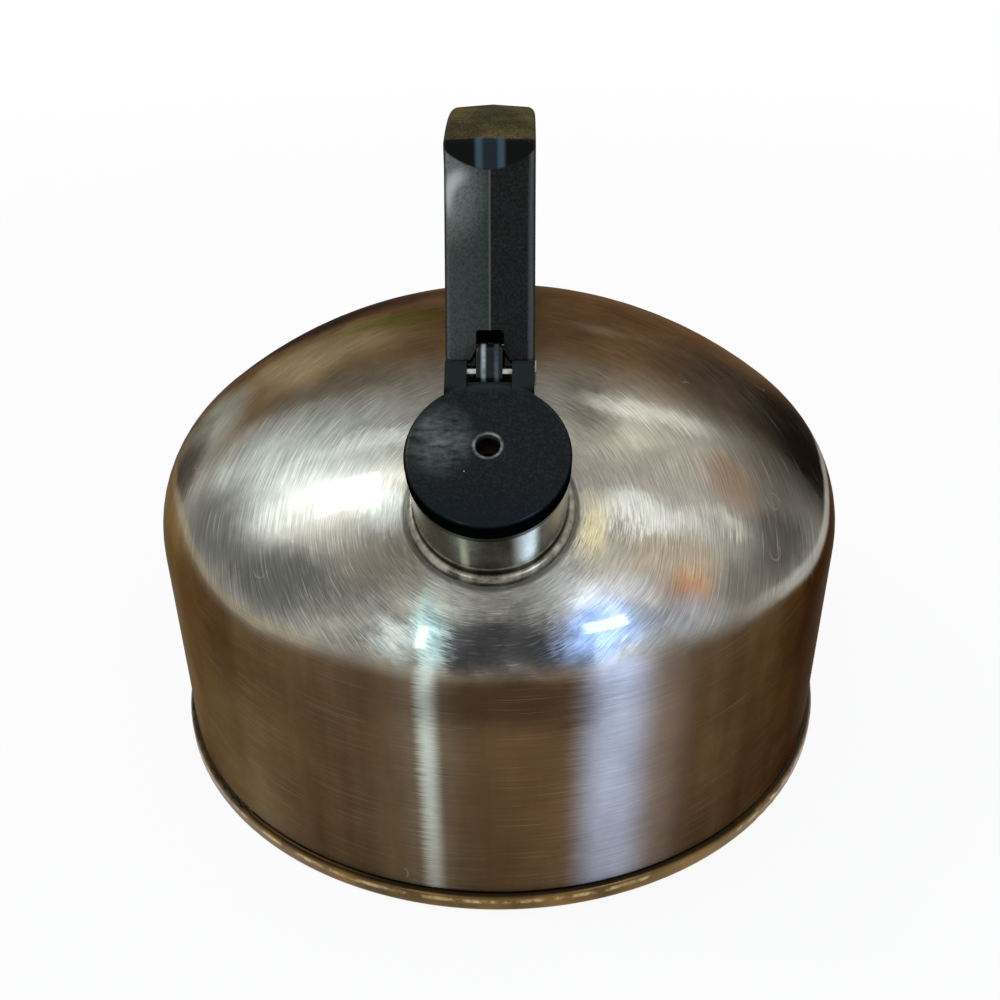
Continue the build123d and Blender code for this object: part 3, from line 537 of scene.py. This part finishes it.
collar_steel, tree, shader = finish("grimy stainless collar")
place = add(tree, "ShaderNodeTexCoord").outputs["Object"]
spout_reach, _, _ = round_spout(tree, place)
patch = add(tree, "ShaderNodeTexNoise", {"Vector": place, "Scale": 220.0, "Detail": 5.0, "Roughness": 0.65})
share = add(tree, "ShaderNodeMapRange", {0: patch.outputs["Fac"], 1: 0.35, 2: 0.68})
collar = over(tree, linear("#46413A"), linear("#9C9788"), share)
# The collar darkens in the corner against the tube.
corner = add(tree, "ShaderNodeMapRange", {0: spout_reach, 1: 0.0188, 2: 0.0181}, interpolation_type="SMOOTHSTEP")
collar = over(tree, collar, linear("#1C1914"), corner, 0.8)
tree.links.new(collar.outputs[2], shader.inputs["Base Color"])
smear = add(tree, "ShaderNodeMapRange", {0: patch.outputs["Fac"], 1: 0.3, 2: 0.7, 3: 0.26, 4: 0.42})
tree.links.new(smear.outputs[0], shader.inputs["Roughness"])
shader.inputs["Metallic"].default_value = 1.0
paint("spout_collar", collar_steel)


# Handle, hinge arm and trigger: black phenolic, moulded in two halves that meet along the middle,
# so there is a parting line. Its skin is glossy where hands polish it and brown on top, partly with dust
# and partly as a painted reflection. The lighter left half, pale edges and the nose's marks are painted light.
nose_foot = 0.1770
nose_curve = 40.0
shine_places = (-0.0023, 0.0026)
corner_heart = (-0.0035, 0.0, 0.1703)
corner_radius = 0.0064
corner_top = (-0.0092, -0.0495, 0.1738)
corner_extent = (0.0060, 0.0120, 0.0075)
dust_and_reflection_brown = "#665A3A"
glow_extent = (0.0110, 0.0200, 0.0150)
fluff_scale = 75.0
fluff_half, fluff_soft = 0.00010 * fluff_scale, 0.00026 * fluff_scale

phenolic, tree, shader = finish("moulded black phenolic")
place = add(tree, "ShaderNodeTexCoord").outputs["Object"]
axes = add(tree, "ShaderNodeSeparateXYZ", {0: place}).outputs
facing = add(tree, "ShaderNodeSeparateXYZ", {0: add(tree, "ShaderNodeNewGeometry").outputs["Normal"]}).outputs
grit = add(tree, "ShaderNodeTexNoise", {"Vector": place, "Scale": 1800.0, "Detail": 2.0, "Roughness": 0.6})
haze = add(tree, "ShaderNodeTexNoise", {"Vector": place, "Scale": 110.0, "Detail": 4.0, "Roughness": 0.6})
share = add(tree, "ShaderNodeMapRange", {0: grit.outputs["Fac"], 1: 0.40, 2: 0.75})
black = over(tree, linear("#0B0C0B"), linear("#1F211F"), share)
# The left half of the post is painted greyer than the right half, as painted light, and its outer edge is palest, as
# a painted highlight.
forward = add(tree, "ShaderNodeMapRange", {0: facing["Y"], 1: -0.5, 2: -0.8})
middle = add(tree, "ShaderNodeMath", {0: axes["X"], 1: axes["X"]}, operation="MULTIPLY")
smile = add(tree, "ShaderNodeMath", {0: middle, 1: -nose_curve, 2: axes["Z"]}, operation="MULTIPLY_ADD")
nose = add(tree, "ShaderNodeMapRange", {0: smile, 1: nose_foot, 2: nose_foot + 0.0005})
post = add(tree, "ShaderNodeMath", {0: 1.0, 1: nose}, operation="SUBTRACT")
post = add(tree, "ShaderNodeMath", {0: post, 1: forward}, operation="MULTIPLY")
soft = add(tree, "ShaderNodeMapRange", {0: axes["X"], 1: 0.0, 2: -0.0100, 3: 0.46, 4: 0.84})
grain = add(tree, "ShaderNodeMapRange", {0: grit.outputs["Fac"], 1: 0.35, 2: 0.65, 3: 0.66, 4: 1.20})
soft = add(tree, "ShaderNodeMath", {0: soft, 1: grain}, operation="MULTIPLY")
left = add(tree, "ShaderNodeMapRange", {0: axes["X"], 1: 0.0002, 2: -0.0004})
left = add(tree, "ShaderNodeMath", {0: left, 1: post}, operation="MULTIPLY")
left = add(tree, "ShaderNodeMath", {0: left, 1: soft}, operation="MULTIPLY")
black = over(tree, black, linear("#3A403C"), left)
outer = add(tree, "ShaderNodeMapRange", {0: axes["X"], 1: -0.0088, 2: -0.0096})
outer = add(tree, "ShaderNodeMath", {0: outer, 1: left}, operation="MULTIPLY")
black = over(tree, black, linear("#565C58"), outer, 0.8)
# A painted highlight runs down the right edge of the post.
inner = add(tree, "ShaderNodeMapRange", {0: axes["X"], 1: 0.0086, 2: 0.0096})
inner = add(tree, "ShaderNodeMath", {0: inner, 1: post}, operation="MULTIPLY")
black = over(tree, black, linear("#565754"), inner, 0.75)
# A soft painted highlight sits at the top-left corner of the post.
glow = spot(tree, place, corner_top, glow_extent)
glow = add(tree, "ShaderNodeMath", {0: glow, 1: left}, operation="MULTIPLY")
black = over(tree, black, linear("#7E847E"), glow, 0.6)
# A thin arc of painted highlight follows the rounded top-left corner.
corner_place = add(tree, "ShaderNodeVectorMath", {0: place, 1: corner_heart}, operation="SUBTRACT")
corner_place = add(tree, "ShaderNodeVectorMath", {0: corner_place, 1: (1.0, 0.0, 1.0)}, operation="MULTIPLY")
corner_reach = add(tree, "ShaderNodeVectorMath", {0: corner_place}, operation="LENGTH").outputs["Value"]
wear_and_highlight = band(tree, corner_reach, corner_radius, 0.0002, 0.0026)
wear_and_highlight = add(tree, "ShaderNodeMath", {0: wear_and_highlight, 1: spot(tree, place, corner_top, corner_extent)}, operation="MULTIPLY")
wear_and_highlight = add(tree, "ShaderNodeMath", {0: wear_and_highlight, 1: forward}, operation="MULTIPLY")
black = over(tree, black, linear("#C4C8C2"), wear_and_highlight, 0.5)
seam = band(tree, axes["X"], 0.0, 0.00010, 0.00032)
seam = add(tree, "ShaderNodeMath", {0: seam, 1: forward}, operation="MULTIPLY")
black = over(tree, black, linear("#5A5C50"), seam, 0.6)
fluff = add(tree, "ShaderNodeTexVoronoi", {"Vector": place, "Scale": fluff_scale})
fluff = add(tree, "ShaderNodeMapRange", {0: fluff.outputs["Distance"], 1: fluff_half, 2: fluff_soft, 3: 1.0, 4: 0.0})
black = over(tree, black, linear("#C8C8C0"), fluff, 0.6)
# The nose above the post is painted blacker as a dark painted reflection, with a blue painted reflection, two thin
# painted highlights and a smile-shaped lower edge.
nose = add(tree, "ShaderNodeMath", {0: nose, 1: forward}, operation="MULTIPLY")
black = over(tree, black, linear("#040404"), nose)
blue = band(tree, axes["X"], 0.0002, 0.0010, 0.0042)
blue = add(tree, "ShaderNodeMath", {0: blue, 1: nose}, operation="MULTIPLY")
black = over(tree, black, linear("#1B242A"), blue, 0.9)
for x in shine_places:
    painted_shine = band(tree, axes["X"], x, 0.0002, 0.0013)
    painted_shine = add(tree, "ShaderNodeMath", {0: painted_shine, 1: nose}, operation="MULTIPLY")
    black = over(tree, black, linear("#3C4A53"), painted_shine, 0.9)
# Dust and a brown painted reflection lie only on the top of the loop.
upward = add(tree, "ShaderNodeMapRange", {0: facing["Z"], 1: 0.45, 2: 0.80}, interpolation_type="SMOOTHSTEP")
high = add(tree, "ShaderNodeMapRange", {0: axes["Z"], 1: 0.150, 2: 0.160})
upward = add(tree, "ShaderNodeMath", {0: upward, 1: high}, operation="MULTIPLY")
dust_and_reflection = add(tree, "ShaderNodeMapRange", {0: haze.outputs["Fac"], 1: 0.38, 2: 0.66, 3: 0.40, 4: 1.0})
dust_and_reflection = add(tree, "ShaderNodeMath", {0: dust_and_reflection, 1: upward}, operation="MULTIPLY")
grain = add(tree, "ShaderNodeMapRange", {0: grit.outputs["Fac"], 1: 0.35, 2: 0.65, 3: 0.45, 4: 1.0})
dust_and_reflection = add(tree, "ShaderNodeMath", {0: dust_and_reflection, 1: grain}, operation="MULTIPLY")
black = over(tree, black, linear(dust_and_reflection_brown), dust_and_reflection)
tree.links.new(black.outputs[2], shader.inputs["Base Color"])
skin = add(tree, "ShaderNodeMapRange", {0: upward, 3: 0.13, 4: 0.02})
tree.links.new(skin.outputs[0], shader.inputs["Coat Weight"])
pits = add(tree, "ShaderNodeBump", {"Strength": 0.15, "Distance": 0.00005, "Height": grit.outputs["Fac"]})
tree.links.new(pits.outputs[0], shader.inputs["Normal"])
shader.inputs["Roughness"].default_value = 0.45
shader.inputs["Specular IOR Level"].default_value = 0.0
shader.inputs["Coat Roughness"].default_value = 0.35
paint("handle", phenolic)

tongue_highlights = (
    # place across the tongue, colour and strength of a painted highlight line
    (-0.0013, "#A3ABB0", 0.8),
    (0.0016, "#59626A", 0.7),
)
polished, tree, shader = finish("finger-polished black phenolic")
place = add(tree, "ShaderNodeTexCoord").outputs["Object"]
haze = add(tree, "ShaderNodeTexNoise", {"Vector": place, "Scale": 260.0, "Detail": 4.0, "Roughness": 0.6})
share = add(tree, "ShaderNodeMapRange", {0: haze.outputs["Fac"], 1: 0.30, 2: 0.60})
black = over(tree, linear("#040505"), linear("#121413"), share)
axes = add(tree, "ShaderNodeSeparateXYZ", {0: place}).outputs
for x, colour, strength in tongue_highlights:
    painted_shine = band(tree, axes["X"], x, 0.0001, 0.0008)
    painted_shine = add(tree, "ShaderNodeMath", {0: painted_shine, 1: share}, operation="MULTIPLY")
    black = over(tree, black, linear(colour), painted_shine, strength)
tree.links.new(black.outputs[2], shader.inputs["Base Color"])
gloss = add(tree, "ShaderNodeMapRange", {0: haze.outputs["Fac"], 1: 0.3, 2: 0.7, 3: 0.14, 4: 0.30})
tree.links.new(gloss.outputs[0], shader.inputs["Roughness"])
shader.inputs["Specular IOR Level"].default_value = 0.16
for name in ("hinge_arm", "trigger"):
    paint(name, polished)


# Whistle cap: a black moulded lid with two hinge ears and a whistle hole. Steam and cloths rubbed
# its left side dull, and the rim of the hole is worn grey. Its lower front has a blue painted sheen, and its
# side and the inside of the hole are painted near black as shade.
hole_back = 0.0018
hole_radius = 0.0030
cap_edge = 0.0176, 0.0181
smudge_middle, smudge_extent = (-0.0105, 0.0030, 0.0266), (0.0095, 0.0110, 0.0060)
dust_scale = 130.0
dust_half, dust_soft = 0.00012 * dust_scale, 0.00024 * dust_scale

cap_black, tree, shader = finish("rubbed black cap plastic")
place = add(tree, "ShaderNodeTexCoord").outputs["Object"]
speck = add(tree, "ShaderNodeTexNoise", {"Vector": place, "Scale": 1500.0, "Detail": 2.0, "Roughness": 0.6})
haze = add(tree, "ShaderNodeTexNoise", {"Vector": place, "Scale": 190.0, "Detail": 6.0, "Roughness": 0.68})
share = add(tree, "ShaderNodeMapRange", {0: speck.outputs["Fac"], 1: 0.45, 2: 0.75})
black = over(tree, linear("#121617"), linear("#222627"), share)
local = add(tree, "ShaderNodeMapping", {0: place, "Location": spout_foot, "Rotation": spout_lean},
            vector_type="TEXTURE")
smudge = spot(tree, local, smudge_middle, smudge_extent)
wipe_place = add(tree, "ShaderNodeMapping", {0: local, "Rotation": (0.0, 0.0, 0.6), "Scale": (380.0, 800.0, 380.0)})
wipe = add(tree, "ShaderNodeTexNoise", {"Vector": wipe_place, "Scale": 1.0, "Detail": 2.0, "Roughness": 0.6})
broken = add(tree, "ShaderNodeMath", {0: haze.outputs["Fac"], 1: wipe.outputs["Fac"]}, operation="MULTIPLY")
broken = add(tree, "ShaderNodeMapRange", {0: broken, 1: 0.10, 2: 0.42})
smudge = add(tree, "ShaderNodeMath", {0: smudge, 1: broken}, operation="MULTIPLY")
black = over(tree, black, linear("#6E726E"), smudge, 0.70)
local_axes = add(tree, "ShaderNodeSeparateXYZ", {0: local}).outputs
# A blue painted sheen lies on the lower front.
lower = add(tree, "ShaderNodeMapRange", {0: local_axes["Y"], 1: -0.006, 2: -0.016})
black = over(tree, black, linear("#0C1219"), lower, 0.6)
back = add(tree, "ShaderNodeMath", {0: local_axes["Y"], 1: hole_back}, operation="SUBTRACT")
flat = add(tree, "ShaderNodeCombineXYZ", {0: local_axes["X"], 1: back})
hole_reach = add(tree, "ShaderNodeVectorMath", {0: flat}, operation="LENGTH").outputs["Value"]
wear_and_highlight = band(tree, hole_reach, hole_radius, 0.0001, 0.0006)
wear_and_highlight = add(tree, "ShaderNodeMath", {0: wear_and_highlight, 1: broken}, operation="MULTIPLY")
black = over(tree, black, linear("#8C8E88"), wear_and_highlight, 0.9)
# The inside of the hole is painted near black as shade.
inside = add(tree, "ShaderNodeMapRange", {0: hole_reach, 1: 0.0029, 2: 0.0026})
black = over(tree, black, linear("#020202"), inside)
# The side of the cap is painted near black as shade.
side = add(tree, "ShaderNodeVectorMath", {0: local, 1: (1.0, 1.0, 0.0)}, operation="MULTIPLY")
side = add(tree, "ShaderNodeVectorMath", {0: side}, operation="LENGTH").outputs["Value"]
side = add(tree, "ShaderNodeMapRange", {0: side, 1: cap_edge[0], 2: cap_edge[1]})
black = over(tree, black, linear("#020303"), side)
ears = add(tree, "ShaderNodeMapRange", {0: local_axes["Y"], 1: 0.0150, 2: 0.0170})
black = over(tree, black, linear("#222625"), ears)
sheen = add(tree, "ShaderNodeMapRange", {0: side, 3: 0.12, 4: 0.0})
tree.links.new(sheen.outputs[0], shader.inputs["Coat Weight"])
dust = add(tree, "ShaderNodeTexVoronoi", {"Vector": place, "Scale": dust_scale})
dust = add(tree, "ShaderNodeMapRange", {0: dust.outputs["Distance"], 1: dust_half, 2: dust_soft, 3: 1.0, 4: 0.0})
black = over(tree, black, linear("#B8B8B0"), dust, 0.7)
tree.links.new(black.outputs[2], shader.inputs["Base Color"])
gloss = add(tree, "ShaderNodeMapRange", {0: haze.outputs["Fac"], 1: 0.3, 2: 0.7, 3: 0.28, 4: 0.42})
tree.links.new(gloss.outputs[0], shader.inputs["Roughness"])
shader.inputs["Specular IOR Level"].default_value = 0.0
shader.inputs["Coat Roughness"].default_value = 0.25
paint("cap", cap_black)

seal, tree, shader = finish("black seal rubber")
place = add(tree, "ShaderNodeTexCoord").outputs["Object"]
bloom = add(tree, "ShaderNodeTexNoise", {"Vector": place, "Scale": 300.0, "Detail": 4.0, "Roughness": 0.6})
rubber = over(tree, linear("#121212"), linear("#2B2A28"), bloom.outputs["Fac"])
tree.links.new(rubber.outputs[2], shader.inputs["Base Color"])
shader.inputs["Roughness"].default_value = 0.7
paint("cap_gasket", seal)

# The whistle plates sit deep under the hole and are painted dark as shade, with a mottle.
whistle, tree, shader = finish("whistle plate painted dark as shade")
place = add(tree, "ShaderNodeTexCoord").outputs["Object"]
plate_mottle = add(tree, "ShaderNodeTexNoise", {"Vector": place, "Scale": 240.0, "Detail": 5.0, "Roughness": 0.6})
plate = over(tree, linear("#1E1B17"), linear("#5A5246"), plate_mottle.outputs["Fac"])
tree.links.new(plate.outputs[2], shader.inputs["Base Color"])
shader.inputs["Metallic"].default_value = 1.0
shader.inputs["Roughness"].default_value = 0.5
for name in ("whistle_lower_plate", "whistle_upper_plate", "whistle_spacer"):
    paint(name, whistle)


# Pins, spring, brackets and fasteners: bright drawn and pressed steel, mostly inside the handle.
# The hinge pin, screw heads and nuts show. Handling leaves a thin grey film on them.
bright_steel, tree, shader = finish("bright drawn steel")
place = add(tree, "ShaderNodeTexCoord").outputs["Object"]
film = add(tree, "ShaderNodeTexNoise", {"Vector": place, "Scale": 350.0, "Detail": 4.0, "Roughness": 0.6})
share = add(tree, "ShaderNodeMapRange", {0: film.outputs["Fac"], 1: 0.4, 2: 0.7})
drawn = over(tree, linear("#B9B9B6"), linear("#86837C"), share)
tree.links.new(drawn.outputs[2], shader.inputs["Base Color"])
smear = add(tree, "ShaderNodeMapRange", {0: film.outputs["Fac"], 1: 0.3, 2: 0.7, 3: 0.20, 4: 0.34})
tree.links.new(smear.outputs[0], shader.inputs["Roughness"])
shader.inputs["Metallic"].default_value = 1.0
for name in ("hinge_pin", "trigger_pin", "trigger_spring", "handle_screws", "handle_washers", "handle_nuts"):
    paint(name, bright_steel)

pressed_steel, tree, shader = finish("pressed stainless strap")
place = add(tree, "ShaderNodeTexCoord").outputs["Object"]
grain_place = add(tree, "ShaderNodeMapping", {0: place, "Scale": (1200.0, 90.0, 90.0)})
grain = add(tree, "ShaderNodeTexNoise", {"Vector": grain_place, "Scale": 1.0, "Detail": 3.0, "Roughness": 0.6})
strap = over(tree, linear("#7A766F"), linear("#A29E96"), grain.outputs["Fac"])
tree.links.new(strap.outputs[2], shader.inputs["Base Color"])
shader.inputs["Metallic"].default_value = 1.0
shader.inputs["Roughness"].default_value = 0.38
for name in ("front_bracket", "rear_bracket"):
    paint(name, pressed_steel)


# Size: the dressed model's box.
low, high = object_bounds()
